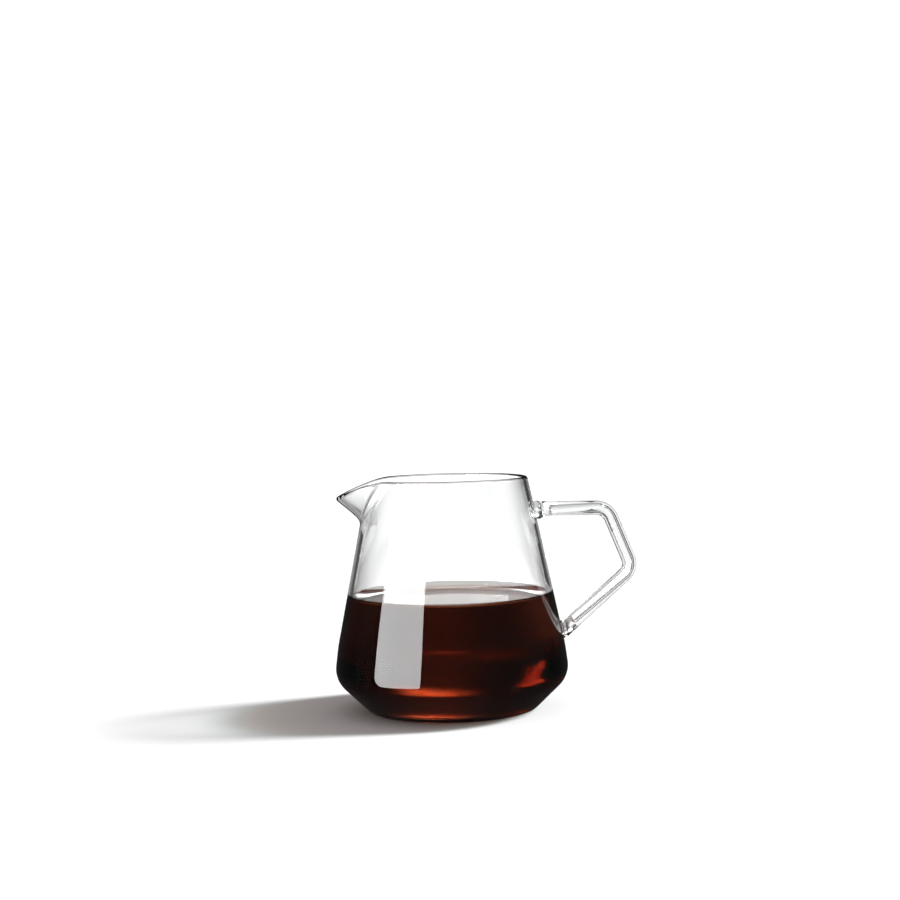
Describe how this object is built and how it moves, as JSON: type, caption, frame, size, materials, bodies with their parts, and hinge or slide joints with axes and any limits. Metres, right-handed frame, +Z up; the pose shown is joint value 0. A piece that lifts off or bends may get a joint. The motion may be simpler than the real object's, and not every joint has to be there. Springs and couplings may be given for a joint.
{
  "type": "coffee server carafe",
  "caption": "Small clear glass coffee server with a low ridged body, leaning wall, pulled pouring lip and bent hollow glass handle, half full of coffee.",
  "frame": {"origin": "centre of the flat foot, on the table, on the body's axis", "axes": "+Z up along the body's axis, +X towards the handle, -X towards the pouring lip, Y across"},
  "size_m": [0.1177, 0.0902, 0.0899],
  "materials": {
    "clear_glass": "clear colourless borosilicate glass, fire-polished, smooth and glossy",
    "fused_glass": "the same clear glass, thicker and slightly uneven where it was fused",
    "coffee": "black filter coffee: nearly black, deep red-brown where light comes through"
  },
  "bodies": {
    "root": {"vessel": "clear_glass", "handle": "clear_glass", "upper_pad": "fused_glass", "lower_pad": "fused_glass", "coffee": "coffee"}
  },
  "joints": []
}
